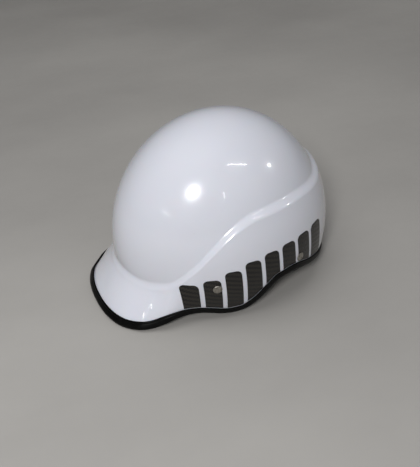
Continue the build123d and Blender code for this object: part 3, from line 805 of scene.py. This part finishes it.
for node, groove in (("crown_pad", ribs_along_y), ("front_pad", ribs_across), ("rear_pad", ribs_across),
                     ("side_pad_left", ribs_side), ("side_pad_right", ribs_side)):
    pad = swell(node, node + "_cushion", FOAM, "shell", 0.0022, 0.0042, 0.0016)
    keep_in_liner(pad, groove)
swell("occipital_pad", "occipital_cushion", PAD_FABRIC, "brace", 0.0012, 0.0026, 0.0010)
for side_name in ("left", "right"):
    swell("ear_pad_" + side_name, "ear_cushion_" + side_name, PAD_FABRIC, "harness_" + side_name,
          0.0012, 0.0022, 0.0010)


# ---------------------------------------------------------------- hard pieces from the frame
def dress(node, material, bevel, degrees=35):
    """A hard CAD node keeps its form and gets rounded edges, smooth shading and its material."""
    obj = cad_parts[node]
    shade(obj, degrees)
    obj.data.materials.clear()
    obj.data.materials.append(material)
    if bevel:
        weld = obj.modifiers.new("Weld", "WELD")
        weld.merge_threshold = 1e-6
        rounding = obj.modifiers.new("Bevel", "BEVEL")
        rounding.width = bevel * MM
        rounding.segments = 3
        rounding.limit_method = "ANGLE"
        rounding.angle_limit = math.radians(40)
        rounding.harden_normals = True


dress("sub_shell", LINING, 0)
dress("strap_hangers", PLASTIC, 0.3)
dress("rivet_washers", METAL, 0.15)
dress("brace_screws", METAL, 0.2)
dress("occipital_brace", PLASTIC, 0.5)
dress("buckle_socket", PLASTIC, 0.35)
dress("buckle_plug", PLASTIC, 0.35)
dress("strap_keeper", RUBBER, 0.3)
for side_name in ("left", "right"):
    dress("strap_divider_" + side_name, PLASTIC, 0.35)


# ---------------------------------------------------------------- floor, lights and camera
def build_stage():
    """A round pale floor that turns up into a wall on every side, far behind any camera."""
    profile = [(0, 0), (0.4, 0), (0.9, 0), (1.6, 0), (2.3, 0), (2.7, 0.03), (2.95, 0.15), (3.06, 0.4),
               (3.1, 1.0), (3.1, 2.2)]
    points, faces = lathe(smooth_path(profile, 8), Vector((0, 0, 0)), Vector((0, 0, 1)), 96)
    mesh = bpy.data.meshes.new("backdrop")
    mesh.from_pydata([tuple(p) for p in points], [], faces)
    mesh.validate()
    obj = bpy.data.objects.new("backdrop", mesh)
    bpy.context.scene.collection.objects.link(obj)
    shade(obj, 180)
    obj.data.materials.append(backdrop())


def area_light(name, direction, distance, size, power, target=(0, 0, 0.09), along=None, mirrored=True):
    """Light that shines on the target from a direction; mirrored=False keeps it out of reflections."""
    data = bpy.data.lights.new(name, "AREA")
    data.shape = "RECTANGLE" if along else "ELLIPSE"
    data.size, data.size_y = size
    data.energy = power
    obj = bpy.data.objects.new(name, data)
    bpy.context.scene.collection.objects.link(obj)
    obj.location = Vector(target) + Vector(direction).normalized() * distance
    z_axis = Vector(direction).normalized()
    y_axis = z_axis.cross(Vector(along or (0, 0, 1))).normalized()
    x_axis = y_axis.cross(z_axis)
    turn = Matrix((x_axis, y_axis, z_axis)).transposed()
    obj.rotation_mode = "QUATERNION"
    obj.rotation_quaternion = turn.to_quaternion()
    obj.visible_glossy = mirrored


def build_world():
    world = bpy.data.worlds.new("studio")
    world.use_nodes = True
    background = world.node_tree.nodes["Background"]
    background.inputs["Color"].default_value = (0.80, 0.82, 0.86, 1)
    background.inputs["Strength"].default_value = 0.10
    bpy.context.scene.world = world


def build_camera():
    """A three-quarter view from the front left, looking down."""
    back = Vector((0.7435, -0.3324, 0.5802)).normalized()
    right = Vector((0.4316, 0.9013, -0.0367)).normalized()
    up = back.cross(right).normalized()
    right = up.cross(back)
    data = bpy.data.cameras.new("camera")
    data.lens = 46.9
    data.sensor_width = 36.0
    obj = bpy.data.objects.new("camera", data)
    bpy.context.scene.collection.objects.link(obj)
    turn = Matrix((right, up, back)).transposed().to_4x4()
    obj.matrix_world = Matrix.Translation(Vector((515.18, -241.75, 445.24)) * MM) @ turn
    bpy.context.scene.camera = obj


build_stage()
build_world()
bpy.context.scene.view_settings.view_transform = "Standard"
LEFT_FRONT = (0.060, -0.054, 0.143)     # where the dome mirrors the window to the camera
LEFT_TOP = (0.060, -0.006, 0.160)
area_light("window", (0.641, -0.497, 0.584), 1.5, (0.29, 0.33), 13.5, target=LEFT_FRONT)
area_light("lamp", (0.444, 0.764, 0.469), 1.5, (0.10, 0.10), 0.8, target=(0.064, 0.027, 0.152))
area_light("tube", (0.565, 0.300, 0.745), 1.5, (0.50, 0.03), 0.75, target=LEFT_TOP, along=(0.01, 0.344, -0.145))
area_light("strip", (0.400, -0.874, 0.258), 1.5, (0.30, 0.02), 0.16, target=(0.053, -0.080, 0.124),
           along=(0.237, 0.087, -0.071))
area_light("glow", (0.883, -0.028, 0.468), 1.5, (0.16, 0.05), 0.12, target=(0.073, -0.028, 0.139))
area_light("ceiling", (0.0, -0.30, 1.0), 2.4, (2.4, 2.4), 27, mirrored=False)
area_light("rear_fill", (-0.55, 0.75, 0.55), 2.4, (2.0, 2.0), 5, mirrored=False)
build_camera()
